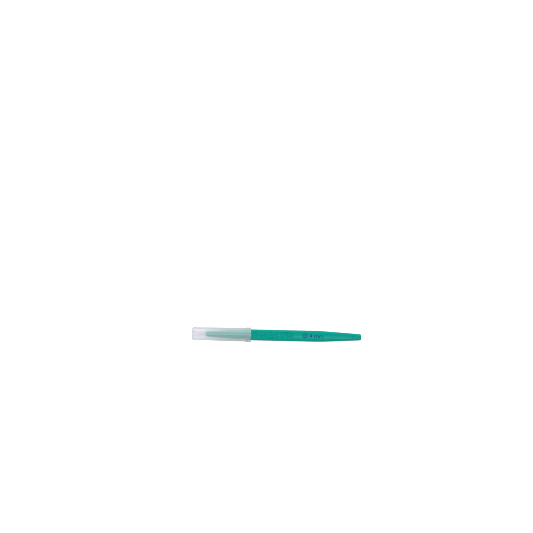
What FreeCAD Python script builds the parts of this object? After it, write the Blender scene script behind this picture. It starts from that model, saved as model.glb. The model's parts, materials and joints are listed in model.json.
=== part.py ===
import FreeCAD, Part
import math
import os

# A disposable dermal curette with its protective cap on, lying at rest on its flat back.
# Lengths are in mm and angles in degrees. Each piece is drawn along the instrument's own
# axis, which is X: the cap's mouth is near x = 0, the blade points to -X, the tail to +X,
# and the upper broad face looks to +Z. At the end all pieces are laid down together.

# Handle, a flat octagonal body behind the cap
BODY_LENGTH = 97.5
BODY_WIDTH = 9.7
BODY_THICKNESS = 8.6
BEVEL = 1.65
EDGE_RADIUS = 0.7
CROWN_RADIUS = 35.0
SHOULDER_ROUND = 0.3

# Taper to the tail, in plan and in thickness
TAPER_LENGTH = 36.5
TAPER_BLEND = 4.5
BEND_STEPS = 4
TAIL_WIDTH = 5.5
TAIL_THICKNESS = 5.6
TAIL_ROUND_LENGTH = 1.8
TAIL_ROUND_INSET = 0.9
DIMPLE_DIAMETER = 1.8
DIMPLE_DEPTH = 0.25
DIMPLE_SETBACK = 7.3

# Sunken grip panels with raised diamonds
PANEL_SETBACK = 1.3
PANEL_LENGTH = 35.7
PANEL_WIDTH = 6.1
PANEL_DEPTH = 0.4
PANEL_POINT_LENGTH = 3.4
PANEL_POINT_WIDTH = 2.6
DIAMOND_PITCH_ALONG = 2.19
DIAMOND_PITCH_ACROSS = 1.77
DIAMOND_GAP = 0.22
DIAMOND_TOP_SHARE = 0.42
DIAMOND_ROOT = 0.1

# Seat for the cap, and the nose in front of it
SEAT_RADIUS = 4.7
SEAT_LENGTH = 4.6
SEAT_CHAMFER = 0.3
NOSE_LENGTH = 39.8
NOSE_ROOT_RADIUS = 3.9
NOSE_MIDDLE_RADIUS = 3.45
NOSE_MIDDLE_SETBACK = 22.0
NOSE_TIP_RADIUS = 2.1
NOSE_TIP_CHAMFER = 0.45

# Steel blade: a ring, a neck and a shank in the nose
BLADE_REACH = 8.0
RING_BORE_RADIUS = 2.0
RING_WALL = 0.35
RING_HEIGHT = 1.4
RING_GRIND_HEIGHT = 0.7
NECK_WIDTH = 1.0
NECK_HEIGHT = 1.0
NECK_SETBACK = 0.1
SHANK_RADIUS = 0.8
SHANK_DEPTH = 14.0
SOCKET_CLEARANCE = 0.02
SOCKET_END_GAP = 0.3

# Frosted cap
CAP_LENGTH = 52.2
CAP_MOUTH_RADIUS = 6.0
CAP_TIP_RADIUS = 5.7
CAP_CORNER_RADIUS = 1.0
CAP_CORNER_STEPS = 3
CAP_DOME = 0.5
CAP_END_WALL = 1.5
CAP_INNER_CHAMFER = 0.6
CAP_FIT_CLEARANCE = 0.05
CAP_MOUTH_GAP = 0.1
MOUTH_CHAMFER = 0.25
BEAD_RADIUS = 6.45
BEAD_LENGTH = 4.6
BEAD_CHAMFER = 0.3
BEAD_GROOVE_SETBACK = 1.9
BEAD_GROOVE_WIDTH = 0.6
BEAD_GROOVE_DEPTH = 0.2

# How far a cutting solid reaches out past the face that it cuts
CUT_MARGIN = 2.0

HALF_THICKNESS = BODY_THICKNESS / 2
TAPER_START = BODY_LENGTH - TAPER_LENGTH
AXIS_X = FreeCAD.Vector(1, 0, 0)
AXIS_Y = FreeCAD.Vector(0, 1, 0)
AXIS_Z = FreeCAD.Vector(0, 0, 1)
ORIGIN = FreeCAD.Vector(0, 0, 0)


def point(x, y, z):
    return FreeCAD.Vector(x, y, z)


def line(start, end):
    return Part.LineSegment(start, end).toShape()


def arc(start, middle, end):
    return Part.Arc(start, middle, end).toShape()


# Handle body

def tapered(x, full, at_tail):
    """A size of the body at x: constant, a soft bend, then a straight taper to the tail."""
    slope = (full - at_tail) / TAPER_LENGTH
    past = x - (TAPER_START - TAPER_BLEND)
    if past <= 0:
        return full
    if past >= 2 * TAPER_BLEND:
        return full - slope * (x - TAPER_START)
    return full - slope * past ** 2 / (4 * TAPER_BLEND)


def rounded_corner(before, corner, after, radius):
    """The ends and the middle of the arc that rounds one corner of a section."""
    u = (before - corner).normalize()
    v = (after - corner).normalize()
    half = u.getAngle(v) / 2
    reach = radius / math.tan(half)
    bisector = (u + v).normalize()
    centre = corner + bisector * (radius / math.sin(half))
    return corner + u * reach, centre - bisector * radius, corner + v * reach


def section(x, inset):
    """The octagonal outline across the body at x, drawn in by inset on every side."""
    half_width = tapered(x, BODY_WIDTH, TAIL_WIDTH) / 2 - inset
    half_height = tapered(x, BODY_THICKNESS, TAIL_THICKNESS) / 2 - inset
    bevel = BEVEL - inset / 2
    corners = [
        point(x, half_width - bevel, half_height),
        point(x, -half_width + bevel, half_height),
        point(x, -half_width, half_height - bevel),
        point(x, -half_width, -half_height + bevel),
        point(x, -half_width + bevel, -half_height),
        point(x, half_width - bevel, -half_height),
        point(x, half_width, -half_height + bevel),
        point(x, half_width, half_height - bevel),
    ]
    count = len(corners)
    arcs = []
    for i, corner in enumerate(corners):
        before = corners[i - 1]
        after = corners[(i + 1) % count]
        arcs.append(rounded_corner(before, corner, after, EDGE_RADIUS - inset / 3))
    edges = []
    for i, (start, middle, end) in enumerate(arcs):
        following = arcs[(i + 1) % count][0]
        edges.append(arc(start, middle, end))
        if i == 0:
            crown = (end.y - following.y) ** 2 / (8 * CROWN_RADIUS)
            edges.append(arc(end, point(x, 0, half_height + crown), following))
        else:
            edges.append(line(end, following))
    return Part.Wire(edges)


def bend_stations():
    """Where sections are drawn along the soft bend into the taper."""
    start = TAPER_START - TAPER_BLEND
    return [start + 2 * TAPER_BLEND * i / BEND_STEPS for i in range(BEND_STEPS + 1)]


def body():
    """The octagonal body, lofted from the shoulder through the bend to the rounded tail."""
    stations = [(0, SHOULDER_ROUND), (SHOULDER_ROUND, 0)]
    stations += [(x, 0) for x in bend_stations()]
    round_start = BODY_LENGTH - TAIL_ROUND_LENGTH
    for angle in (0, 25, 45, 62, 77, 90):
        turn = math.radians(angle)
        x = round_start + TAIL_ROUND_LENGTH * math.sin(turn)
        stations.append((x, TAIL_ROUND_INSET * (1 - math.cos(turn))))
    return Part.makeLoft([section(x, inset) for x, inset in stations], True, True)


def panel_outline(z):
    """The grip panel's outline: a strip whose far end narrows to a blunt point."""
    start = PANEL_SETBACK
    end = PANEL_SETBACK + PANEL_LENGTH
    half = PANEL_WIDTH / 2
    blunt = PANEL_POINT_WIDTH / 2
    corners = [
        point(start, -half, z),
        point(end - PANEL_POINT_LENGTH, -half, z),
        point(end, -blunt, z),
        point(end, blunt, z),
        point(end - PANEL_POINT_LENGTH, half, z),
        point(start, half, z),
    ]
    return Part.Face(Part.makePolygon(corners + corners[:1]))


def rhombus(x, y, z, share):
    """The four corners of a diamond at a share of its full size."""
    along = (DIAMOND_PITCH_ALONG / 2 - DIAMOND_GAP) * share
    across = (DIAMOND_PITCH_ACROSS / 2 - DIAMOND_GAP) * share
    return [
        point(x - along, y, z),
        point(x, y - across, z),
        point(x + along, y, z),
        point(x, y + across, z),
    ]


def blunt_pyramid(low, high):
    """A solid with flat sides between two diamonds."""
    outlines = [low, high]
    for i in range(len(low)):
        outlines.append([low[i - 1], low[i], high[i], high[i - 1]])
    faces = [Part.Face(Part.makePolygon(o + o[:1])) for o in outlines]
    solid = Part.Solid(Part.makeShell(faces))
    if solid.Volume < 0:
        solid.reverse()
    return solid


def diamonds(floor, top):
    """Staggered rows of blunt pyramids, a little rooted in the panel's floor."""
    columns = int(2 * PANEL_LENGTH / DIAMOND_PITCH_ALONG) + 1
    rows = int(PANEL_WIDTH / DIAMOND_PITCH_ACROSS)
    found = []
    for i in range(columns + 1):
        for j in range(-rows, rows + 1):
            if (i + j) % 2:
                continue
            x = PANEL_SETBACK + i * DIAMOND_PITCH_ALONG / 2
            y = j * DIAMOND_PITCH_ACROSS / 2
            low = rhombus(x, y, floor - DIAMOND_ROOT, 1)
            found.append(blunt_pyramid(low, rhombus(x, y, top, DIAMOND_TOP_SHARE)))
    return Part.makeCompound(found)


def grip_panel():
    """What to cut for the upper grip panel, and the diamonds to leave standing in it."""
    floor = HALF_THICKNESS - PANEL_DEPTH
    recess = panel_outline(floor).extrude(AXIS_Z * (PANEL_DEPTH + CUT_MARGIN))
    column = panel_outline(0).extrude(AXIS_Z * BODY_THICKNESS)
    return recess, diamonds(floor, HALF_THICKNESS).common(column)


def nose():
    """The round seat and the nose, turned about the axis, in front of the shoulder."""
    seat_end = -SEAT_LENGTH
    tip = -NOSE_LENGTH
    shoulder = [
        point(0, 0, 0),
        point(0, 0, SEAT_RADIUS),
        point(seat_end + SEAT_CHAMFER, 0, SEAT_RADIUS),
        point(seat_end, 0, SEAT_RADIUS - SEAT_CHAMFER),
        point(seat_end, 0, NOSE_ROOT_RADIUS),
    ]
    middle = point(-NOSE_MIDDLE_SETBACK, 0, NOSE_MIDDLE_RADIUS)
    end = [
        point(tip + NOSE_TIP_CHAMFER, 0, NOSE_TIP_RADIUS),
        point(tip, 0, NOSE_TIP_RADIUS - NOSE_TIP_CHAMFER),
        point(tip, 0, 0),
        shoulder[0],
    ]
    edges = [line(a, b) for a, b in zip(shoulder, shoulder[1:])]
    edges.append(arc(shoulder[-1], middle, end[0]))
    edges += [line(a, b) for a, b in zip(end, end[1:])]
    return Part.Face(Part.Wire(edges)).revolve(ORIGIN, AXIS_X, 360)


def handle():
    upper_recess, upper_teeth = grip_panel()
    lower_recess = upper_recess.copy()
    lower_teeth = upper_teeth.copy()
    for shape in (lower_recess, lower_teeth):
        shape.rotate(ORIGIN, AXIS_X, 180)
    dimple_x = BODY_LENGTH - DIMPLE_SETBACK
    dimple_face = tapered(dimple_x, BODY_THICKNESS, TAIL_THICKNESS) / 2
    dimple_base = point(dimple_x, 0, dimple_face - DIMPLE_DEPTH)
    dimple = Part.makeCylinder(DIMPLE_DIAMETER / 2, CUT_MARGIN, dimple_base, AXIS_Z)
    socket = Part.makeCylinder(
        SHANK_RADIUS + SOCKET_CLEARANCE,
        SHANK_DEPTH + SOCKET_END_GAP,
        point(-NOSE_LENGTH, 0, 0),
        AXIS_X,
    )
    solid = body().fuse(nose())
    solid = solid.cut([upper_recess, lower_recess, dimple, socket])
    solid = solid.fuse(upper_teeth.Solids + lower_teeth.Solids)
    return solid.removeSplitter()


# Ring blade

def ring_blade():
    outer = RING_BORE_RADIUS + RING_WALL
    centre = -NOSE_LENGTH - BLADE_REACH + outer
    low = -RING_HEIGHT / 2
    high = RING_HEIGHT / 2
    profile = Part.makePolygon([
        point(centre - RING_BORE_RADIUS, 0, low),
        point(centre - outer, 0, low + RING_GRIND_HEIGHT),
        point(centre - outer, 0, high),
        point(centre - RING_BORE_RADIUS, 0, high),
        point(centre - RING_BORE_RADIUS, 0, low),
    ])
    ring = Part.Face(profile).revolve(point(centre, 0, 0), AXIS_Z, 360)
    neck_x = centre + RING_BORE_RADIUS + RING_WALL / 2
    half_width = NECK_WIDTH / 2
    neck_top = high - NECK_SETBACK
    neck_low = neck_top - NECK_HEIGHT
    flat = Part.makePolygon([
        point(neck_x, -half_width, neck_low),
        point(neck_x, half_width, neck_low),
        point(neck_x, half_width, neck_top),
        point(neck_x, -half_width, neck_top),
        point(neck_x, -half_width, neck_low),
    ])
    neck_end = point(-NOSE_LENGTH, 0, 0)
    round_end = Part.Wire(Part.makeCircle(SHANK_RADIUS, neck_end, AXIS_X))
    neck = Part.makeLoft([flat, round_end], True, True)
    shank = Part.makeCylinder(SHANK_RADIUS, SHANK_DEPTH, neck_end, AXIS_X)
    return ring.fuse([neck, shank]).removeSplitter()


# Cap

def cap():
    """The sheath, turned about the axis: outside from the mouth to the end, then inside."""
    mouth = -CAP_MOUTH_GAP
    end = mouth - CAP_LENGTH
    bead_back = mouth - BEAD_LENGTH
    bead_rim = BEAD_RADIUS - BEAD_CHAMFER
    groove_front = mouth - BEAD_GROOVE_SETBACK
    groove_back = groove_front - BEAD_GROOVE_WIDTH
    groove_middle = (groove_front + groove_back) / 2
    bore = SEAT_RADIUS + CAP_FIT_CLEARANCE
    inner_end = end + CAP_END_WALL
    inside = [
        point(end, 0, 0),
        point(inner_end, 0, 0),
        point(inner_end, 0, bore - CAP_INNER_CHAMFER),
        point(inner_end + CAP_INNER_CHAMFER, 0, bore),
        point(mouth - MOUTH_CHAMFER, 0, bore),
        point(mouth, 0, bore + MOUTH_CHAMFER),
    ]
    bead_and_wall = [
        inside[-1],
        point(mouth, 0, bead_rim),
        point(mouth - BEAD_CHAMFER, 0, BEAD_RADIUS),
        point(groove_front, 0, BEAD_RADIUS),
        point(groove_middle, 0, BEAD_RADIUS - BEAD_GROOVE_DEPTH),
        point(groove_back, 0, BEAD_RADIUS),
        point(bead_back + BEAD_CHAMFER, 0, BEAD_RADIUS),
        point(bead_back, 0, bead_rim),
        point(bead_back, 0, CAP_MOUTH_RADIUS),
    ]
    dome_rim = CAP_TIP_RADIUS - CAP_CORNER_RADIUS
    for i in range(CAP_CORNER_STEPS + 1):
        turn = math.pi / 2 * i / CAP_CORNER_STEPS
        x = end + CAP_DOME + CAP_CORNER_RADIUS * (1 - math.sin(turn))
        bead_and_wall.append(point(x, 0, dome_rim + CAP_CORNER_RADIUS * math.cos(turn)))
    edges = [line(a, b) for a, b in zip(bead_and_wall, bead_and_wall[1:])]
    dome_radius = (dome_rim ** 2 + CAP_DOME ** 2) / (2 * CAP_DOME)
    dome_share = dome_radius - math.sqrt(dome_radius ** 2 - dome_rim ** 2 / 4)
    dome_middle = point(end + dome_share, 0, dome_rim / 2)
    edges.append(arc(bead_and_wall[-1], dome_middle, inside[0]))
    edges += [line(a, b) for a, b in zip(inside, inside[1:])]
    return Part.Face(Part.Wire(edges)).revolve(ORIGIN, AXIS_X, 360)


# Laying the pieces down

def rest_tilt():
    """How far the tail drops until the bead's rim and the back both touch the surface."""
    rim_x = -CAP_MOUTH_GAP - BEAD_CHAMFER
    places = bend_stations() + [BODY_LENGTH - TAIL_ROUND_LENGTH]
    drops = []
    for x in places:
        depth = tapered(x, BODY_THICKNESS, TAIL_THICKNESS) / 2
        drops.append(math.atan((BEAD_RADIUS - depth) / (x - rim_x)))
    return math.degrees(min(drops))


def lay_down(pieces):
    """Tilts all pieces to rest, and puts the origin under the middle of the whole."""
    tilt = rest_tilt()
    for shape in pieces.values():
        shape.rotate(ORIGIN, AXIS_Y, tilt)
    box = FreeCAD.BoundBox()
    for shape in pieces.values():
        box.add(shape.optimalBoundingBox(False))
    shift = point(-(box.XMin + box.XMax) / 2, 0, -box.ZMin)
    for shape in pieces.values():
        shape.translate(shift)
    return tilt, shift


def main():
    os.makedirs("parts", exist_ok=True)
    pieces = {"handle": handle(), "ring_blade": ring_blade(), "cap": cap()}
    tilt, shift = lay_down(pieces)
    turn = math.radians(tilt)
    print("tilt", tilt, "shift", shift)
    print("cap leaves along", (-math.cos(turn), 0, math.sin(turn)))
    for name, shape in pieces.items():
        print(name, shape.ShapeType, len(shape.Solids), shape.isValid(), shape.Volume)
        shape.exportStep("parts/" + name + ".step")


main()
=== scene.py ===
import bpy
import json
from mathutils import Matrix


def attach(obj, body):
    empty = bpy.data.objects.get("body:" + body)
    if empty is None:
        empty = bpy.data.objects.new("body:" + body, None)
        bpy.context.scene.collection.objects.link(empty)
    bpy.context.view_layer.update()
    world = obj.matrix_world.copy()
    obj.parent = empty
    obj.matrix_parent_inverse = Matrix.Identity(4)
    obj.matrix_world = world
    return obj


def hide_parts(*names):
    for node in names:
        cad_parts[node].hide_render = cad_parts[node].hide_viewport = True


bl_info = {
    "name": "Dermal Curette",
    "version": (1, 0, 0),
    "blender": (4, 5, 0),
    "location": "View3D > Sidebar > Curette",
    "description": "Builds a capped curette: moulded handle, steel ring blade and frosted cap",
    "category": "Add Mesh",
}

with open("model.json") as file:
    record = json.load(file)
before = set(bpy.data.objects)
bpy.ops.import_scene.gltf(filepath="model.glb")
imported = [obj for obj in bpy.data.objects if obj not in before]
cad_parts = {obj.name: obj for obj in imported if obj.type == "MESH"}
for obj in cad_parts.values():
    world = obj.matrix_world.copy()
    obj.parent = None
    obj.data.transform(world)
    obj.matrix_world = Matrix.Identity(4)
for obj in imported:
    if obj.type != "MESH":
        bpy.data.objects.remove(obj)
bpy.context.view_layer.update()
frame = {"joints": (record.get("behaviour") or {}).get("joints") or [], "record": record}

import json
import math

import bmesh
import bpy
from bpy.props import FloatProperty, FloatVectorProperty, PointerProperty, StringProperty
from mathutils import Matrix, Vector

MM = 0.001
SLIVER = 0.001 * MM
# Name of the mesh attribute that carries the stipple's painted light and shade.
PAINTED_SHADING_ATTRIBUTE = "painted_shading"
ROUND_STEPS = 96
# How far the rounding of an octagon's corner reaches along each side, as a share of its radius.
CORNER_REACH = math.tan(math.radians(22.5))

# The instrument's own axis, from the frame: the cap leaves along the slide, towards -X. The flat
# back's mount lies BACK_MOUNT_X behind the cap's mouth and HALF_THICKNESS below the axis.
BACK_MOUNT_X = 50.0 * MM
HALF_THICKNESS = 4.3 * MM
ALONG = -Vector(frame["joints"][0]["axis"]).normalized()
ACROSS = Vector((0.0, 1.0, 0.0))
UP = ALONG.cross(ACROSS)
BACK_MOUNT = Vector(frame["record"]["mounts"][0]["pos_m"])
MOUTH = BACK_MOUNT - ALONG * BACK_MOUNT_X + UP * HALF_THICKNESS
LAY = Matrix.Translation(MOUTH) @ Matrix((ALONG, ACROSS, UP)).transposed().to_4x4()


# Small tools

def linear(code):
    """A linear colour from an sRGB hex value such as 0A9C8E."""
    parts = [int(code[i:i + 2], 16) / 255 for i in (0, 2, 4)]
    return [p / 12.92 if p <= 0.04045 else ((p + 0.055) / 1.055) ** 2.4 for p in parts]


def colour(name, text, code):
    """A colour property with its default from an sRGB hex value."""
    return FloatVectorProperty(
        name=name, description=text, subtype="COLOR", size=3, min=0, max=1, default=linear(code)
    )


def length(name, text, millimetres):
    """A length property with its default in millimetres."""
    return FloatProperty(
        name=name, description=text, unit="LENGTH", min=0, precision=5, default=millimetres * MM
    )


def smooth(a, b, x):
    """0 below a, 1 above b, and a smooth step between them."""
    t = min(max((x - a) / (b - a), 0.0), 1.0)
    return t * t * (3 - 2 * t)


def steps(start, end, spacing):
    """Even steps from start to just before end, no wider than spacing."""
    count = max(1, math.ceil((end - start) / spacing))
    return [start + (end - start) * i / count for i in range(count)]


def quarter(centre_x, centre_r, radius, turn, count):
    """Points of a quarter arc in (x, r), from turn degrees on, clockwise if count is negative."""
    sign = 1 if count > 0 else -1
    found = []
    for i in range(abs(count) + 1):
        angle = math.radians(turn + sign * 90 * i / abs(count))
        found.append((centre_x + radius * math.cos(angle), centre_r + radius * math.sin(angle)))
    return found


def lathe(profile, around):
    """Vertices and faces of a closed profile of (x, r) points, turned about the x axis."""
    pairs = zip(profile, profile[-1:] + profile[:-1])
    profile = [point for point, last in pairs if math.dist(point, last) > SLIVER]
    verts = []
    rings = []
    for x, r in profile:
        if r == 0:
            rings.append([len(verts)])
            verts.append((x, 0.0, 0.0))
            continue
        rings.append(list(range(len(verts), len(verts) + around)))
        for k in range(around):
            angle = 2 * math.pi * k / around
            verts.append((x, r * math.cos(angle), r * math.sin(angle)))
    faces = []
    for a, b in zip(rings, rings[1:] + rings[:1]):
        if len(a) == 1 and len(b) == 1:
            continue
        for k in range(around):
            n = (k + 1) % around
            corners = [a[k % len(a)], a[n % len(a)], b[n % len(b)], b[k % len(b)]]
            faces.append(list(dict.fromkeys(corners)))
    return verts, faces


def loft(rings):
    """Vertices and faces of a closed skin through rings of points, capped at both ends."""
    count = len(rings[0])
    verts = [p for ring in rings for p in ring]
    faces = []
    for i in range(len(rings) - 1):
        for k in range(count):
            n = (k + 1) % count
            faces.append([i * count + k, i * count + n, (i + 1) * count + n, (i + 1) * count + k])
    last = (len(rings) - 1) * count
    faces.append(list(range(count - 1, -1, -1)))
    faces.append([last + k for k in range(count)])
    return verts, faces


def edit_mesh(mesh, change):
    """Opens a mesh, lets change work on it, and writes it back."""
    bm = bmesh.new()
    bm.from_mesh(mesh)
    change(bm)
    bm.to_mesh(mesh)
    bm.free()


def face_outward(bm):
    """Turns all normals outward."""
    bmesh.ops.recalc_face_normals(bm, faces=bm.faces)


def drop_slivers(bm):
    """Merges points that lie on each other and takes out faces with no area."""
    bmesh.ops.remove_doubles(bm, verts=bm.verts, dist=SLIVER)
    bmesh.ops.dissolve_degenerate(bm, edges=bm.edges, dist=SLIVER)


def new_object(name, data):
    """An object that shows data, linked to the scene."""
    made = bpy.data.objects.new(name, data)
    bpy.context.scene.collection.objects.link(made)
    return made


def new_piece(name, verts, faces, placing):
    """A mesh object with outward normals, laid in the row frame by placing."""
    mesh = bpy.data.meshes.new(name)
    mesh.from_pydata([placing @ Vector(v) for v in verts], [], faces)
    edit_mesh(mesh, face_outward)
    return new_object(name, mesh)


def apply_modifiers(piece):
    """Bakes a piece's modifiers into its mesh."""
    graph = bpy.context.evaluated_depsgraph_get()
    mesh = bpy.data.meshes.new_from_object(piece.evaluated_get(graph))
    old = piece.data
    piece.modifiers.clear()
    piece.data = mesh
    mesh.name = piece.name
    bpy.data.meshes.remove(old)


def weld(piece, other):
    """Joins another closed piece to this one, so that both are one skin."""
    union = piece.modifiers.new("Weld", "BOOLEAN")
    union.operation = "UNION"
    union.solver = "EXACT"
    union.object = other
    apply_modifiers(piece)
    bpy.data.objects.remove(other)
    edit_mesh(piece.data, drop_slivers)


def finish_surface(piece, material, crease):
    """Smooth shading with creases above an angle in degrees, and the piece's material."""
    piece.data.materials.clear()
    piece.data.materials.append(material)
    for face in piece.data.polygons:
        face.material_index = 0
    piece.data.shade_smooth()
    piece.data.set_sharp_from_angle(angle=math.radians(crease))
    weighted = piece.modifiers.new("Weighted", "WEIGHTED_NORMAL")
    weighted.keep_sharp = True
    apply_modifiers(piece)


# Materials

def new_material(name):
    """An empty node material with its output."""
    material = bpy.data.materials.new(name)
    material.use_nodes = True
    material.node_tree.nodes.clear()
    return material, material.node_tree


def add(tree, kind, settings=None, inputs=None):
    """Adds a node, sets its settings, and gives its inputs values or links."""
    node = tree.nodes.new(kind)
    for key, value in (settings or {}).items():
        setattr(node, key, value)
    for key, value in (inputs or {}).items():
        if isinstance(value, bpy.types.NodeSocket):
            tree.links.new(value, node.inputs[key])
        else:
            node.inputs[key].default_value = value
    return node


def spark_texture(tree, grain, height, stretch=(1, 1, 1)):
    """Bump like the fine skin that an eroded mould leaves, grain and height in metres."""
    place = add(tree, "ShaderNodeTexCoord").outputs["Object"]
    scaled = add(tree, "ShaderNodeMapping", inputs={"Vector": place, "Scale": stretch})
    noise = add(
        tree,
        "ShaderNodeTexNoise",
        inputs={"Vector": scaled.outputs[0], "Scale": 1 / grain, "Detail": 3.0, "Roughness": 0.6},
    )
    bump = add(
        tree,
        "ShaderNodeBump",
        inputs={"Height": noise.outputs["Fac"], "Strength": 1.0, "Distance": height},
    )
    return bump.outputs["Normal"]


def broad_noise(tree, size, low, high):
    """A slow change over size metres, from low to high."""
    place = add(tree, "ShaderNodeTexCoord").outputs["Object"]
    noise = add(
        tree,
        "ShaderNodeTexNoise",
        inputs={"Vector": place, "Scale": 1 / size, "Detail": 2.0, "Roughness": 0.5},
    )
    spread = add(
        tree,
        "ShaderNodeMapRange",
        inputs={
            "Value": noise.outputs["Fac"],
            "From Min": 0.3,
            "From Max": 0.7,
            "To Min": low,
            "To Max": high,
        },
    )
    return spread.outputs["Result"]


def moulded_abs(base):
    """Injection-moulded ABS, satin: a low sheen broken by the mould's fine spark-eroded skin."""
    material, tree = new_material("Moulded satin ABS")
    # The pigment flows a little unevenly in the mould, so the colour drifts over about 9 mm.
    dark = [c * 0.95 for c in base] + [1]
    light = [min(1, c * 1.04) for c in base] + [1]
    drift = add(
        tree,
        "ShaderNodeMix",
        {"data_type": "RGBA"},
        {"Factor": broad_noise(tree, 9 * MM, 0, 1), "A": dark, "B": light},
    )
    # Painted light and shade for the stipple: painted shade darkens the grooves between the
    # diamonds, and a painted highlight lightens their tops.
    painted_shading = add(tree, "ShaderNodeAttribute", {"attribute_name": PAINTED_SHADING_ATTRIBUTE}).outputs["Fac"]
    painted_shaded = add(
        tree,
        "ShaderNodeVectorMath",
        {"operation": "SCALE"},
        {0: drift.outputs["Result"], "Scale": painted_shading},
    )
    shader = add(
        tree,
        "ShaderNodeBsdfPrincipled",
        inputs={
            "Base Color": painted_shaded.outputs["Vector"],
            "Roughness": broad_noise(tree, 4 * MM, 0.15, 0.19),
            "IOR": 1.54,
            "Specular IOR Level": 0.07,
            "Normal": spark_texture(tree, 0.22 * MM, 0.002 * MM),
        },
    )
    add(tree, "ShaderNodeOutputMaterial", inputs={"Surface": shader.outputs[0]})
    return material


def frosted_polypropylene(base, milk):
    """Natural polypropylene with an etched skin: milky, and what is inside shows through."""
    material, tree = new_material("Frosted polypropylene")
    # Where the wall turns away, more of it lies in the line of sight: it is milkier and deeper in
    # tone there, and shinier at the very edge.
    facing = add(tree, "ShaderNodeLayerWeight", inputs={"Blend": 0.5}).outputs["Facing"]
    depth = add(
        tree, "ShaderNodeMapRange", inputs={"Value": facing, "From Min": 0.35, "From Max": 0.9}
    )
    milkiness = add(
        tree,
        "ShaderNodeMapRange",
        inputs={"Value": facing, "From Min": 0.3, "From Max": 0.9, "To Min": milk, "To Max": 0.75},
    )
    edge = add(tree, "ShaderNodeMath", {"operation": "POWER"}, {0: facing, 1: 5.0})
    shine = add(
        tree, "ShaderNodeMapRange", inputs={"Value": edge.outputs[0], "To Min": 0.03, "To Max": 0.5}
    )
    tint = add(
        tree,
        "ShaderNodeMix",
        {"data_type": "RGBA"},
        {
            "Factor": depth.outputs["Result"],
            "A": list(base) + [1],
            "B": [c * 0.5 for c in base] + [1],
        },
    ).outputs["Result"]
    etched = spark_texture(tree, 0.3 * MM, 0.003 * MM)
    rough = broad_noise(tree, 5 * MM, 0.28, 0.36)
    skin = add(
        tree,
        "ShaderNodeBsdfPrincipled",
        inputs={"Base Color": tint, "Roughness": rough, "IOR": 1.49, "Normal": etched},
    )
    # The milky part also passes light from behind, so the wall glows evenly.
    glow = add(tree, "ShaderNodeBsdfTranslucent", inputs={"Color": tint})
    body = add(tree, "ShaderNodeMixShader", inputs={0: 0.5, 1: skin.outputs[0], 2: glow.outputs[0]})
    clear = add(tree, "ShaderNodeBsdfTransparent", inputs={"Color": [0.97, 0.945, 0.955, 1]})
    wall = add(
        tree,
        "ShaderNodeMixShader",
        inputs={0: milkiness.outputs["Result"], 1: clear.outputs[0], 2: body.outputs[0]},
    )
    sheen = add(
        tree,
        "ShaderNodeBsdfGlossy",
        inputs={"Color": [1, 1, 1, 1], "Roughness": rough, "Normal": etched},
    )
    coated = add(
        tree,
        "ShaderNodeMixShader",
        inputs={0: shine.outputs["Result"], 1: wall.outputs[0], 2: sheen.outputs[0]},
    )
    add(tree, "ShaderNodeOutputMaterial", inputs={"Surface": coated.outputs[0]})
    return material


def ground_steel(base):
    """Surgical stainless steel, ground: bright, with fine lines left by the wheel."""
    material, tree = new_material("Ground stainless steel")
    shader = add(
        tree,
        "ShaderNodeBsdfPrincipled",
        inputs={
            "Base Color": list(base) + [1],
            "Metallic": 1.0,
            "Roughness": broad_noise(tree, 1.5 * MM, 0.2, 0.3),
            "Normal": spark_texture(tree, 0.5 * MM, 0.003 * MM, (0.4, 1, 8)),
        },
    )
    add(tree, "ShaderNodeOutputMaterial", inputs={"Surface": shader.outputs[0]})
    return material


def pad_printed_ink(base):
    """Pad-printed ink: a thin matt film whose cover is a little uneven."""
    material, tree = new_material("Pad printed ink")
    dark = [c * 0.9 for c in base] + [1]
    light = [min(1, c * 1.15) for c in base] + [1]
    cover = add(
        tree,
        "ShaderNodeMix",
        {"data_type": "RGBA"},
        {"Factor": broad_noise(tree, 0.5 * MM, 0, 1), "A": dark, "B": light},
    )
    shader = add(
        tree,
        "ShaderNodeBsdfPrincipled",
        inputs={
            "Base Color": cover.outputs["Result"],
            "Roughness": 0.5,
            "Specular IOR Level": 0.1,
        },
    )
    add(tree, "ShaderNodeOutputMaterial", inputs={"Surface": shader.outputs[0]})
    return material


def seen_in_gloss(tree, path):
    """1 where the ray comes off a shiny surface or through a clear one, and else 0."""
    shown = add(
        tree,
        "ShaderNodeMath",
        {"operation": "MAXIMUM"},
        {0: path.outputs["Is Glossy Ray"], 1: path.outputs["Is Transmission Ray"]},
    )
    return shown.outputs[0]


# Added to the paper's brightness in reflections, where it has to match the world's.
PAPER_GLOSS_LIFT = 0.15


def white_sweep(lift):
    """Matt white paper. What the camera sees is lifted to white, and the shadow stays on it."""
    material, tree = new_material("Matt white paper")
    base = [0.8, 0.8, 0.8, 1]
    paper = add(tree, "ShaderNodeBsdfDiffuse", inputs={"Color": base, "Roughness": 0.5})
    path = add(tree, "ShaderNodeLightPath")
    # Through the frosted walls the paper has its own brightness, as in the photograph.
    bare = add(
        tree,
        "ShaderNodeMath",
        {"operation": "LESS_THAN"},
        {0: path.outputs["Transparent Depth"], 1: 0.5},
    )
    direct = add(
        tree,
        "ShaderNodeMath",
        {"operation": "MULTIPLY"},
        {0: path.outputs["Is Camera Ray"], 1: bare.outputs[0]},
    )
    lifted = add(tree, "ShaderNodeMath", {"operation": "MULTIPLY"}, {0: direct.outputs[0], 1: lift})
    strength = add(
        tree,
        "ShaderNodeMath",
        {"operation": "MULTIPLY_ADD"},
        {0: seen_in_gloss(tree, path), 1: PAPER_GLOSS_LIFT, 2: lifted.outputs[0]},
    )
    glow = add(tree, "ShaderNodeEmission", inputs={"Strength": strength.outputs[0]})
    both = add(tree, "ShaderNodeAddShader", inputs={0: paper.outputs[0], 1: glow.outputs[0]})
    add(tree, "ShaderNodeOutputMaterial", inputs={"Surface": both.outputs[0]})
    return material


# Handle

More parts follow.
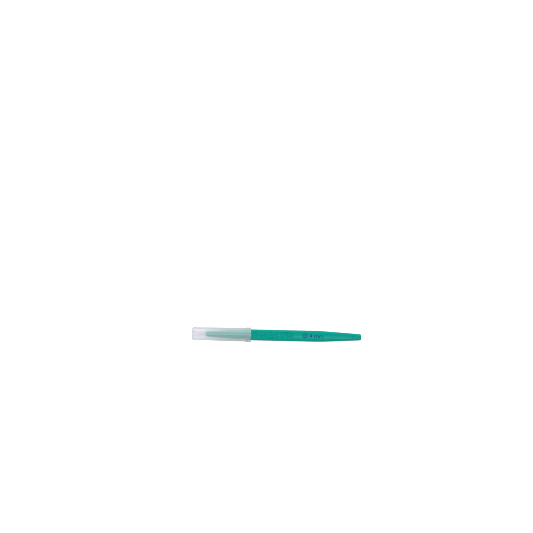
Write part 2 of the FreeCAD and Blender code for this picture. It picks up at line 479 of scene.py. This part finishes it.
class HandleSettings(bpy.types.PropertyGroup):
    """Sizes and colour of the moulded handle."""
    body: length("Body length", "From the cap's mouth to the tail", 97.5)
    width: length("Body width", "Across the broad face", 9.7)
    thickness: length("Body thickness", "Between the broad faces", 8.6)
    bevel: length("Bevel", "Width of the sloped sides, seen from above", 1.65)
    edge: length("Edge radius", "Rounding of the long edges", 0.7)
    crown: length("Crown radius", "Curve of the upper broad face", 35.0)
    taper: length("Taper length", "Length of the narrowing to the tail", 36.5)
    tail_width: length("Tail width", "Width at the tail", 5.5)
    tail_thickness: length("Tail thickness", "Thickness at the tail", 5.6)
    panel: length("Panel length", "Length of the stippled grip panel", 35.7)
    panel_width: length("Panel width", "Width of the stippled grip panel", 5.8)
    panel_depth: length("Panel depth", "Depth of the grip panel below the face", 0.4)
    pitch_along: length("Diamond length", "From diamond to diamond along the handle", 2.17)
    pitch_across: length("Diamond width", "From diamond to diamond across the handle", 2.3)
    nose: length("Nose length", "From the cap's mouth to the nose's tip", 39.8)
    seat: length("Seat radius", "Round seat that the cap grips", 4.7)
    # Painted highlight on the diamonds' tops and painted shade in the grooves between them, as
    # factors on the plastic's colour.
    painted_top_highlight: FloatProperty(
        name="Painted top highlight", description="Painted highlight on the diamonds' tops", min=0, default=1.24
    )
    painted_groove_shade: FloatProperty(
        name="Painted groove shade", description="Painted shade between the diamonds", min=0, default=0.96
    )
    plastic: colour("Plastic", "Colour of the moulded plastic", "009A8C")


SHOULDER_ROUND = 0.3 * MM
SHOULDER_STEPS = 4
TAPER_BLEND = 4.5 * MM
TAIL_ROUND_LENGTH = 1.8 * MM
TAIL_ROUND_INSET = 0.9 * MM
TAIL_STEPS = 8
DIMPLE_RADIUS = 0.9 * MM
DIMPLE_DEPTH = 0.25 * MM
DIMPLE_SETBACK = 7.3 * MM
# Where the dimple's floor ends, where its wall ends, and how far the stations round it are close,
# as shares of its radius.
DIMPLE_FLOOR = 0.72
DIMPLE_RIM = 1.05
DIMPLE_REACH = 1.2
PANEL_SETBACK = 1.3 * MM
PANEL_WALL = 0.22 * MM
PANEL_BORDER = 0.6 * MM
PANEL_POINT_LENGTH = 3.4 * MM
PANEL_POINT_HALF = 1.3 * MM
# Where a diamond's top and its flank end, from 0 at its middle to 1 at its edge.
DIAMOND_TOP = 0.3
DIAMOND_FOOT = 0.86
DIAMOND_STATIONS = 14
# A point up to this many panel depths below a broad face belongs to it.
FACE_REACH = 1.1
FACE_SAMPLES = 36
EDGE_SAMPLES = 5
SEAT_LENGTH = 4.6 * MM
SEAT_ROUND = 0.3 * MM
SEAT_FOOT = 0.1 * MM
WELD_OVERLAP = 0.02 * MM
NOSE_ROOT = 3.9 * MM
NOSE_MIDDLE = 3.45 * MM
NOSE_MIDDLE_SETBACK = 22.0 * MM
NOSE_TIP = 2.1 * MM
NOSE_TIP_ROUND = 0.45 * MM
SHANK_RADIUS = 0.8 * MM
SHANK_DEPTH = 14.0 * MM
SHANK_CHAMFER = 0.2 * MM
SOCKET_CLEARANCE = 0.02 * MM
SOCKET_LEAD_IN = 0.05 * MM
SOCKET_END_GAP = 0.3 * MM


def tapered(s, x, full, at_tail):
    """A size of the body at x: constant, a soft bend, then a straight taper to the tail."""
    slope = (full - at_tail) / s.taper
    past = x - (s.body - s.taper - TAPER_BLEND)
    if past <= 0:
        return full
    if past >= 2 * TAPER_BLEND:
        return full - slope * (past - TAPER_BLEND)
    return full - slope * past ** 2 / (4 * TAPER_BLEND)


def panel_wall(s, x, y):
    """0 outside the grip panel, 1 inside it, and between them on its wall."""
    from_start = x - PANEL_SETBACK
    from_end = PANEL_SETBACK + s.panel - x
    half = s.panel_width / 2
    if from_end < PANEL_POINT_LENGTH:
        share = from_end / PANEL_POINT_LENGTH
        half = PANEL_POINT_HALF + (half - PANEL_POINT_HALF) * share
    return smooth(0, PANEL_WALL, min(from_start, from_end, half - abs(y)))


def diamond(s, x, y):
    """1 on a diamond's top, 0 in the grooves between diamonds."""
    p = (x - PANEL_SETBACK) / s.pitch_along + y / s.pitch_across
    q = (x - PANEL_SETBACK) / s.pitch_along - y / s.pitch_across
    off = 2 * max(abs(p - round(p)), abs(q - round(q)))
    return 1 - smooth(DIAMOND_TOP, DIAMOND_FOOT, off)


def panel_sink(s, x, y):
    """How deep the grip panel lies below the face at (x, y), less its diamonds."""
    wall = panel_wall(s, x, y)
    return s.panel_depth * wall * (1 - diamond(s, x, y)) if wall else 0.0


def stipple_painted_shading(s, x, y):
    """The painted light and shade at (x, y) of a broad face: a painted highlight on the diamonds'
    tops and painted shade between them.
    """
    share = diamond(s, x, y)
    return 1 + panel_wall(s, x, y) * (s.painted_top_highlight * share + s.painted_groove_shade * (1 - share) - 1)


def paint_relief_shading(piece, s):
    """Stores the painted light and shade at each point: 1, but painted lighter on the diamonds'
    tops and painted darker between them.
    """
    back = LAY.inverted()
    painted_levels = []
    for vert in piece.data.vertices:
        x, y, z = back @ vert.co
        on_face = x > 0 and abs(z) > s.thickness / 2 - FACE_REACH * s.panel_depth
        painted_levels.append(stipple_painted_shading(s, x, y) if on_face else 1.0)
    layer = piece.data.attributes.new(PAINTED_SHADING_ATTRIBUTE, "FLOAT", "POINT")
    layer.data.foreach_set("value", painted_levels)


def dimple_sink(s, x, y):
    """How deep the round dimple near the tail lies at (x, y)."""
    reach = math.hypot(x - (s.body - DIMPLE_SETBACK), y)
    return DIMPLE_DEPTH * (1 - smooth(DIMPLE_FLOOR, DIMPLE_RIM, reach / DIMPLE_RADIUS))


def upper_face(s, x, y):
    """Height of the plain upper face at (x, y), as body_ring makes it."""
    half_width = tapered(s, x, s.width, s.tail_width) / 2
    half_height = tapered(s, x, s.thickness, s.tail_thickness) / 2
    flat = half_width - s.bevel - s.edge * CORNER_REACH
    return half_height + (flat ** 2 - y ** 2) / (2 * s.crown)


def body_ring(s, x, inset):
    """The octagonal outline across the body at x, drawn in by inset on every side."""
    half_width = tapered(s, x, s.width, s.tail_width) / 2 - inset
    half_height = tapered(s, x, s.thickness, s.tail_thickness) / 2 - inset
    # Drawn in, the bevels and their rounding get smaller too.
    bevel = s.bevel - inset / 2
    radius = s.edge - inset / 3
    reach = radius * CORNER_REACH
    flat = half_width - bevel - reach
    corner = []
    for i in range(1, EDGE_SAMPLES + 1):
        turn = math.radians(90 - 45 * i / EDGE_SAMPLES)
        y = flat + radius * math.cos(turn)
        corner.append((y, half_height - radius + radius * math.sin(turn)))
    side = half_height - bevel - reach
    for i in range(EDGE_SAMPLES + 1):
        turn = math.radians(45 - 45 * i / EDGE_SAMPLES)
        y = half_width - radius + radius * math.cos(turn)
        corner.append((y, side + radius * math.sin(turn)))
    top = []
    bottom = []
    for i in range(FACE_SAMPLES + 1):
        y = flat * (2 * i / FACE_SAMPLES - 1)
        crown = (flat ** 2 - y ** 2) / (2 * s.crown)
        sunk = panel_sink(s, x, y)
        top.append((y, half_height + crown - sunk - dimple_sink(s, x, y)))
        bottom.append((-y, sunk - half_height))
    ring = top + corner
    ring += [(y, -z) for y, z in reversed(corner)]
    ring += bottom
    ring += [(-y, -z) for y, z in corner]
    ring += [(-y, z) for y, z in reversed(corner)]
    return [(x, y, z) for y, z in ring]


def handle_body(s):
    """The body's skin, with close stations where it is stippled, bent or dimpled."""
    rings = []
    for i in range(SHOULDER_STEPS):
        turn = math.radians(90 * i / SHOULDER_STEPS)
        x = SHOULDER_ROUND * (1 - math.cos(turn))
        rings.append(body_ring(s, x, SHOULDER_ROUND * (1 - math.sin(turn))))
    panel_end = PANEL_SETBACK + s.panel
    bend = s.body - s.taper - TAPER_BLEND
    bend_end = bend + 2 * TAPER_BLEND
    dimple = s.body - DIMPLE_SETBACK
    dimple_half = DIMPLE_RADIUS * DIMPLE_REACH
    round_start = s.body - TAIL_ROUND_LENGTH
    # Each span: its start, its end, and the widest spacing of its stations.
    spans = [
        (SHOULDER_ROUND, PANEL_SETBACK, 0.3 * MM),
        (PANEL_SETBACK, panel_end, s.pitch_along / DIAMOND_STATIONS),
        (panel_end, panel_end + PANEL_BORDER, 0.15 * MM),
        (panel_end + PANEL_BORDER, bend, 2.5 * MM),
        (bend, bend_end, 0.75 * MM),
        (bend_end, dimple - dimple_half, 3 * MM),
        (dimple - dimple_half, dimple + dimple_half, 0.09 * MM),
        (dimple + dimple_half, round_start, 1.5 * MM),
    ]
    for span in spans:
        rings += [body_ring(s, x, 0) for x in steps(*span)]
    for i in range(TAIL_STEPS + 1):
        turn = math.radians(90 * i / TAIL_STEPS)
        x = round_start + TAIL_ROUND_LENGTH * math.sin(turn)
        rings.append(body_ring(s, x, TAIL_ROUND_INSET * (1 - math.cos(turn))))
    return loft(rings)


def arc_through(a, b, c, count):
    """Points of the circle arc from a through b to c, each (x, r)."""
    ax, ay, bx, by, cx, cy = *a, *b, *c
    d = 2 * (ax * (by - cy) + bx * (cy - ay) + cx * (ay - by))
    sa, sb, sc = ax ** 2 + ay ** 2, bx ** 2 + by ** 2, cx ** 2 + cy ** 2
    x0 = (sa * (by - cy) + sb * (cy - ay) + sc * (ay - by)) / d
    y0 = (sa * (cx - bx) + sb * (ax - cx) + sc * (bx - ax)) / d
    radius = math.hypot(ax - x0, ay - y0)
    start = math.atan2(ay - y0, ax - x0)
    end = math.atan2(cy - y0, cx - x0)
    found = []
    for i in range(count + 1):
        turn = start + (end - start) * i / count
        found.append((x0 + radius * math.cos(turn), y0 + radius * math.sin(turn)))
    return found


def handle_nose(s):
    """The seat and the nose, turned, with the blade's socket. It starts inside the body."""
    tip = -s.nose
    rim = s.seat - SEAT_ROUND
    socket = SHANK_RADIUS + SOCKET_CLEARANCE
    socket_end = tip + SHANK_DEPTH + SOCKET_END_GAP
    half_round = SEAT_ROUND / 2
    profile = [(WELD_OVERLAP, 0.0)]
    profile += quarter(WELD_OVERLAP - half_round, s.seat - half_round, half_round, 0, 3)
    profile += quarter(-SEAT_LENGTH + SEAT_ROUND, rim, SEAT_ROUND, 90, 4)
    profile.append((-SEAT_LENGTH, NOSE_ROOT + SEAT_FOOT))
    root = (-SEAT_LENGTH, NOSE_ROOT)
    middle = (-NOSE_MIDDLE_SETBACK, NOSE_MIDDLE)
    start_round = (tip + NOSE_TIP_ROUND, NOSE_TIP)
    profile += arc_through(root, middle, start_round, 24)
    inner = NOSE_TIP - NOSE_TIP_ROUND
    profile += quarter(tip + NOSE_TIP_ROUND, inner, NOSE_TIP_ROUND, 90, 5)[1:]
    profile += [(tip, socket + SOCKET_LEAD_IN), (tip + SOCKET_LEAD_IN, socket)]
    profile += [(socket_end, socket), (socket_end, 0.0)]
    return lathe(profile, ROUND_STEPS)


class CURETTE_OT_handle(bpy.types.Operator):
    """Builds the green moulded handle with its stippled grip, seat and nose"""
    bl_idname = "curette.handle"
    bl_label = "Handle"

    def execute(self, context):
        s = context.scene.curette_handle
        piece = new_piece("moulded_handle", *handle_body(s), LAY)
        front = new_piece("handle_nose", *handle_nose(s), LAY)
        weld(piece, front)
        paint_relief_shading(piece, s)
        finish_surface(piece, moulded_abs(s.plastic), crease=40)
        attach(piece, "instrument")
        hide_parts("handle")
        return {"FINISHED"}


# Blade

class BladeSettings(bpy.types.PropertyGroup):
    """Sizes and colour of the steel ring blade."""
    reach: length("Reach", "How far the ring stands out of the nose", 8.0)
    bore: length("Ring bore radius", "Inside of the ring", 2.0)
    wall: length("Ring wall", "Thickness of the ring", 0.35)
    height: length("Ring height", "From the cutting edge to the back rim", 1.4)
    grind: length("Grind height", "Height of the ground bevel", 0.7)
    neck: length("Neck width", "Width and height of the neck at the ring", 1.0)
    steel: colour("Steel", "Colour of the ground steel", "C9CBCE")


EDGE_LAND = 0.02 * MM
RIM_ROUND = 0.06 * MM
NECK_SETBACK = 0.1 * MM
NECK_STEPS = 10
NECK_SIDES = 32
# How square the neck is at the ring: 2 is round, and more is squarer.
NECK_SQUARENESS = 4


def blade_ring(b, centre_x):
    """The ring, turned about its own upright axis, with one ground edge."""
    low = -b.height / 2
    high = b.height / 2
    outer = b.bore + b.wall
    profile = [
        (low, b.bore),
        (low + EDGE_LAND, b.bore + EDGE_LAND / 2),
        (low + b.grind, outer),
        (high - RIM_ROUND, outer),
        (high, outer - RIM_ROUND),
        (high, b.bore + RIM_ROUND),
        (high - RIM_ROUND, b.bore),
    ]
    verts, faces = lathe(profile, ROUND_STEPS)
    return [(centre_x + y, z, x) for x, y, z in verts], faces


def blade_neck(b, start_x, nose_x):
    """The neck and shank: a soft-edged bar by the ring, which turns round at the nose."""
    high = b.height / 2 - NECK_SETBACK
    end = nose_x + SHANK_DEPTH
    # Each station: its place, how far the bar has turned into the shank, and its chamfer.
    shares = [i / NECK_STEPS for i in range(NECK_STEPS + 1)]
    stations = [(start_x + (nose_x - start_x) * share, share, 0) for share in shares]
    stations += [(end - SHANK_CHAMFER, 1, 0), (end, 1, SHANK_CHAMFER)]
    rings = []
    for x, share, chamfer in stations:
        half = b.neck / 2 * (1 - share) + SHANK_RADIUS * share - chamfer
        middle = (high - b.neck / 2) * (1 - smooth(0, 1, share))
        power = 2 / (NECK_SQUARENESS * (1 - share) + 2 * share)
        ring = []
        for i in range(NECK_SIDES):
            turn = 2 * math.pi * i / NECK_SIDES
            c, n = math.cos(turn), math.sin(turn)
            y = half * math.copysign(abs(c) ** power, c)
            z = half * math.copysign(abs(n) ** power, n)
            ring.append((x, y, middle + z))
        rings.append(ring)
    return loft(rings)


class CURETTE_OT_blade(bpy.types.Operator):
    """Builds the steel ring blade with its neck and shank"""
    bl_idname = "curette.blade"
    bl_label = "Ring blade"

    def execute(self, context):
        b = context.scene.curette_blade
        nose_x = -context.scene.curette_handle.nose
        centre_x = nose_x - b.reach + b.bore + b.wall
        piece = new_piece("steel_ring_blade", *blade_ring(b, centre_x), LAY)
        start_x = centre_x + b.bore + b.wall / 2
        neck = new_piece("blade_neck", *blade_neck(b, start_x, nose_x), LAY)
        weld(piece, neck)
        finish_surface(piece, ground_steel(b.steel), crease=32)
        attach(piece, "instrument")
        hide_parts("ring_blade")
        return {"FINISHED"}


# Cap

class CapSettings(bpy.types.PropertyGroup):
    """Sizes and finish of the frosted cap."""
    length: length("Length", "From the mouth to the closed end", 52.2)
    mouth_radius: length("Mouth radius", "Outside, just behind the bead", 6.0)
    tip_radius: length("Tip radius", "Outside, at the closed end", 5.7)
    clearance: length("Clearance", "Gap round the handle's seat", 0.05)
    end_wall: length("End wall", "Thickness of the closed end", 1.5)
    bead_radius: length("Bead radius", "Outside of the bead round the mouth", 6.45)
    bead_length: length("Bead length", "Length of the bead", 4.6)
    plastic: colour("Plastic", "Tint of the frosted plastic", "EAF2F6")
    milk: FloatProperty(
        name="Milk", description="Share of light that each side of the wall scatters", min=0,
        max=1, subtype="FACTOR", default=0.25,
    )


CAP_STEPS = 128
CAP_MOUTH_GAP = 0.1 * MM
CAP_CORNER = 1.0 * MM
CAP_DOME = 0.5 * MM
CAP_DOME_STEPS = 8
CAP_WALL_STEPS = 12
CAP_INNER_CORNER = 0.6 * MM
BORE_SPACING = 4 * MM
MOUTH_LEAD_IN = 0.25 * MM
BEAD_ROUND = 0.3 * MM
GROOVE_SETBACK = 1.9 * MM
GROOVE_WIDTH = 0.6 * MM
GROOVE_DEPTH = 0.2 * MM
GROOVE_STEPS = 12


def cap_profile(c, seat_radius):
    """The cap's section: outside from the mouth to the closed end, then inside."""
    mouth = -CAP_MOUTH_GAP
    end = mouth - c.length
    bead_back = mouth - c.bead_length
    bore = seat_radius + c.clearance
    rim = c.bead_radius - BEAD_ROUND
    profile = quarter(mouth - BEAD_ROUND, rim, BEAD_ROUND, 0, 5)
    groove = mouth - GROOVE_SETBACK - GROOVE_WIDTH / 2
    for i in range(GROOVE_STEPS + 1):
        share = 2 * i / GROOVE_STEPS - 1
        dip = GROOVE_DEPTH * math.cos(share * math.pi / 2) ** 2
        profile.append((groove - share * GROOVE_WIDTH / 2, c.bead_radius - dip))
    profile += quarter(bead_back + BEAD_ROUND, rim, BEAD_ROUND, 90, 5)
    fillet = BEAD_ROUND / 2
    profile += quarter(bead_back - fillet, c.mouth_radius + fillet, fillet, 0, -4)
    dome_rim = c.tip_radius - CAP_CORNER
    wall_start = bead_back - fillet
    wall_end = end + CAP_DOME + CAP_CORNER
    for i in range(1, CAP_WALL_STEPS):
        share = i / CAP_WALL_STEPS
        radius = c.mouth_radius + (c.tip_radius - c.mouth_radius) * share
        profile.append((wall_start + (wall_end - wall_start) * share, radius))
    profile += quarter(wall_end, dome_rim, CAP_CORNER, 90, 8)
    for i in range(1, CAP_DOME_STEPS + 1):
        share = 1 - i / CAP_DOME_STEPS
        profile.append((end + CAP_DOME * share ** 2, dome_rim * share))
    inner = end + c.end_wall
    bore_start = inner + CAP_INNER_CORNER
    inner_rim = bore - CAP_INNER_CORNER
    profile += [(inner, 0.0), (inner, inner_rim / 2)]
    profile += reversed(quarter(bore_start, inner_rim, CAP_INNER_CORNER, 90, 5))
    profile += [(x, bore) for x in steps(bore_start, mouth - MOUTH_LEAD_IN, BORE_SPACING)[1:]]
    profile.append((mouth - MOUTH_LEAD_IN, bore))
    profile.append((mouth - MOUTH_LEAD_IN / 3, bore + MOUTH_LEAD_IN / 3))
    profile.append((mouth, bore + MOUTH_LEAD_IN))
    return profile


class CURETTE_OT_cap(bpy.types.Operator):
    """Builds the frosted pull-off cap with the bead round its mouth"""
    bl_idname = "curette.cap"
    bl_label = "Cap"

    def execute(self, context):
        c = context.scene.curette_cap
        profile = cap_profile(c, context.scene.curette_handle.seat)
        piece = new_piece("frosted_cap", *lathe(profile, CAP_STEPS), LAY)
        finish_surface(piece, frosted_polypropylene(c.plastic, c.milk), crease=40)
        # Frosted walls pass most of the light on, so the nose inside is lit about as the handle is.
        piece.visible_shadow = False
        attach(piece, "cover")
        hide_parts("cap")
        return {"FINISHED"}


# Size mark

class MarkSettings(bpy.types.PropertyGroup):
    """The printed ring size."""
    text: StringProperty(name="Text", description="Ring size, as printed", default="Ø 4 mm")
    letter_size: length("Letter size", "Height of the letters' body", 5.5)
    centre: length("Centre", "Middle of the print, behind the cap's mouth", 54.5)
    film: length("Film", "Thickness of the ink", 0.03)
    ink: colour("Ink", "Colour of the ink", "053F7C")


# The letters are cut into this many strips, so that they bend with the crown.
MARK_STRIPS = 12


def flat_letters(m):
    """A mesh of the text, lying flat round the origin, with the film's thickness."""
    text = bpy.data.curves.new("size_mark_text", "FONT")
    text.body = m.text
    text.size = m.letter_size
    text.align_x = "CENTER"
    text.align_y = "CENTER"
    text.resolution_u = 6
    text.extrude = m.film
    source = new_object("size_mark_source", text)
    bpy.context.view_layer.update()
    graph = bpy.context.evaluated_depsgraph_get()
    mesh = bpy.data.meshes.new_from_object(source.evaluated_get(graph))
    bpy.data.objects.remove(source)
    return mesh


def lay_letters(bm, m, s):
    """Cuts flat letters into strips and lays them on the handle's upper face."""
    drop_slivers(bm)
    lowest = min(v.co.y for v in bm.verts)
    highest = max(v.co.y for v in bm.verts)
    for i in range(1, MARK_STRIPS):
        y = lowest + (highest - lowest) * i / MARK_STRIPS
        every = bm.verts[:] + bm.edges[:] + bm.faces[:]
        bmesh.ops.bisect_plane(bm, geom=every, plane_co=(0, y, 0), plane_no=(0, 1, 0))
    drop_slivers(bm)
    bmesh.ops.triangulate(bm, faces=[f for f in bm.faces if len(f.verts) > 4])
    for v in bm.verts:
        x = v.co.x + m.centre
        v.co = LAY @ Vector((x, v.co.y, upper_face(s, x, v.co.y) + v.co.z))


class CURETTE_OT_size_mark(bpy.types.Operator):
    """Prints the ring size on the upper face, as a thin film of ink"""
    bl_idname = "curette.size_mark"
    bl_label = "Size mark"

    def execute(self, context):
        m = context.scene.curette_mark
        s = context.scene.curette_handle
        mesh = flat_letters(m)
        edit_mesh(mesh, lambda bm: lay_letters(bm, m, s))
        piece = new_object("printed_size_mark", mesh)
        finish_surface(piece, pad_printed_ink(m.ink), crease=30)
        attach(piece, "instrument")
        return {"FINISHED"}


# Stage

class StageSettings(bpy.types.PropertyGroup):
    """Light and floor round the instrument."""
    sky: FloatProperty(name="Sky", description="Strength of the even light", min=0, default=0.74)
    key: FloatProperty(
        name="Key", description="Power of the low soft box behind, in watts", unit="POWER",
        min=0, default=7.2,
    )
    top: FloatProperty(
        name="Top", description="Power of the soft box above, in watts", unit="POWER",
        min=0, default=0.6,
    )
    floor_lift: FloatProperty(
        name="Floor lift", description="How much the seen floor is lifted to white", min=0,
        default=0.6,
    )


# The photograph's view: a long lens straight above, a little turned, with the instrument below
# and to the right of the middle of the square picture.
FRAME_PX = 533
SENSOR_MM = 36.0
LENS_MM = 60.0
PX_PER_MM = 1.1287
TURN_DEGREES = 1.25
MIDDLE_PX = (276.55, 335.4)
FLOOR_HALF = 3.0

# A wide soft box low behind, to the left, draws the long edges and the stipple. A narrow one above
# draws the bright line along the handle's crown.
KEY_PLACE = (-0.55, 0.86, 0.58)
KEY_SIZE = (1.2, 0.7)
TOP_PLACE = (0.02, -0.036, 0.7)
TOP_AIM = (0.02, 0, 0)
TOP_SIZE = (0.5, 0.03)

# The photograph is sharp: with the renderer's own wider filter the fine stipple would blur away.
PIXEL_FILTER = 1.0


def add_camera():
    """The camera above the middle of the instrument, tipped to set it where the photograph does."""
    focal_px = LENS_MM / SENSOR_MM * FRAME_PX
    height = focal_px / PX_PER_MM * MM
    data = bpy.data.cameras.new("camera")
    data.lens = LENS_MM
    data.sensor_width = SENSOR_MM
    data.clip_start = 0.01
    data.clip_end = 20
    camera = new_object("camera", data)
    bpy.context.scene.camera = camera
    middle = MOUTH + ALONG * (-MOUTH.x / ALONG.x)
    right_px = MIDDLE_PX[0] - FRAME_PX / 2
    down_px = MIDDLE_PX[1] - FRAME_PX / 2
    turn = Matrix.Rotation(math.radians(TURN_DEGREES), 4, "Z")
    tip = Matrix.Rotation(math.atan(down_px / focal_px), 4, "X")
    lean = Matrix.Rotation(math.atan(right_px / focal_px), 4, "Y")
    camera.matrix_world = Matrix.Translation(middle + Vector((0, 0, height))) @ turn @ tip @ lean


def add_soft_box(name, place, aim, size, power):
    """A rectangular soft box at place that looks at aim, with its power in watts."""
    data = bpy.data.lights.new(name, "AREA")
    data.shape = "RECTANGLE"
    data.size = size[0]
    data.size_y = size[1]
    data.energy = power
    lamp = new_object(name, data)
    lamp.location = place
    lamp.rotation_euler = (Vector(aim) - Vector(place)).to_track_quat("-Z", "Y").to_euler()


def add_floor(lift):
    """A wide sheet of white paper under the instrument."""
    half = FLOOR_HALF
    corners = [(-half, -half, 0), (half, -half, 0), (half, half, 0), (-half, half, 0)]
    floor = new_piece("paper_floor", corners, [[0, 1, 2, 3]], Matrix.Identity(4))
    floor.data.materials.append(white_sweep(lift))


def add_sky(strength):
    """Even light, which the camera sees as white. The ceiling is darker in reflections."""
    world = bpy.data.worlds.new("studio")
    bpy.context.scene.world = world
    world.use_nodes = True
    tree = world.node_tree
    tree.nodes.clear()
    path = add(tree, "ShaderNodeLightPath")
    seen = add(
        tree,
        "ShaderNodeMath",
        {"operation": "MAXIMUM"},
        {0: path.outputs["Is Camera Ray"], 1: seen_in_gloss(tree, path)},
    )
    level = add(
        tree,
        "ShaderNodeMapRange",
        inputs={"Value": seen.outputs[0], "To Min": strength, "To Max": 1.0},
    )
    place = add(tree, "ShaderNodeTexCoord").outputs["Generated"]
    height = add(tree, "ShaderNodeSeparateXYZ", inputs={0: place}).outputs["Z"]
    ceiling = add(
        tree, "ShaderNodeMapRange", inputs={"Value": height, "From Min": 0.5, "From Max": 0.9}
    )
    dark = add(
        tree,
        "ShaderNodeMath",
        {"operation": "MULTIPLY"},
        {0: ceiling.outputs["Result"], 1: path.outputs["Is Glossy Ray"]},
    )
    dimmed = add(
        tree,
        "ShaderNodeMath",
        {"operation": "SUBTRACT"},
        {0: level.outputs["Result"], 1: dark.outputs[0]},
    )
    back = add(tree, "ShaderNodeBackground", inputs={"Strength": dimmed.outputs[0]})
    back.inputs["Color"].default_value = (1, 1, 1, 1)
    add(tree, "ShaderNodeOutputWorld", inputs={"Surface": back.outputs[0]})


class CURETTE_OT_stage(bpy.types.Operator):
    """Adds the floor, the soft light and the camera"""
    bl_idname = "curette.stage"
    bl_label = "Stage"

    def execute(self, context):
        g = context.scene.curette_stage
        context.scene.view_settings.view_transform = "Standard"
        context.scene.cycles.filter_width = PIXEL_FILTER
        add_floor(g.floor_lift)
        add_sky(g.sky)
        add_soft_box("key", KEY_PLACE, (0, 0, 0), KEY_SIZE, g.key)
        add_soft_box("top", TOP_PLACE, TOP_AIM, TOP_SIZE, g.top)
        add_camera()
        return {"FINISHED"}


# Panel and registration

class CURETTE_PT_panel(bpy.types.Panel):
    """The sizes, colours and steps of the curette"""
    bl_idname = "CURETTE_PT_panel"
    bl_label = "Dermal Curette"
    bl_space_type = "VIEW_3D"
    bl_region_type = "UI"
    bl_category = "Curette"

    def draw(self, context):
        scene = context.scene
        for operator, group in STEPS:
            box = self.layout.box()
            box.operator("curette." + operator)
            settings = getattr(scene, group)
            for key in settings.__annotations__:
                box.prop(settings, key)


STEPS = [
    ("handle", "curette_handle"),
    ("blade", "curette_blade"),
    ("cap", "curette_cap"),
    ("size_mark", "curette_mark"),
    ("stage", "curette_stage"),
]
GROUPS = {
    "curette_handle": HandleSettings,
    "curette_blade": BladeSettings,
    "curette_cap": CapSettings,
    "curette_mark": MarkSettings,
    "curette_stage": StageSettings,
}
CLASSES = [
    *GROUPS.values(),
    CURETTE_OT_handle,
    CURETTE_OT_blade,
    CURETTE_OT_cap,
    CURETTE_OT_size_mark,
    CURETTE_OT_stage,
    CURETTE_PT_panel,
]


def register():
    for item in CLASSES:
        bpy.utils.register_class(item)
    for name, group in GROUPS.items():
        setattr(bpy.types.Scene, name, PointerProperty(type=group))


def unregister():
    for name in GROUPS:
        delattr(bpy.types.Scene, name)
    for item in reversed(CLASSES):
        bpy.utils.unregister_class(item)


def main():
    register()
    for operator, _ in STEPS:
        getattr(bpy.ops.curette, operator)()


if __name__ == "__main__":
    main()
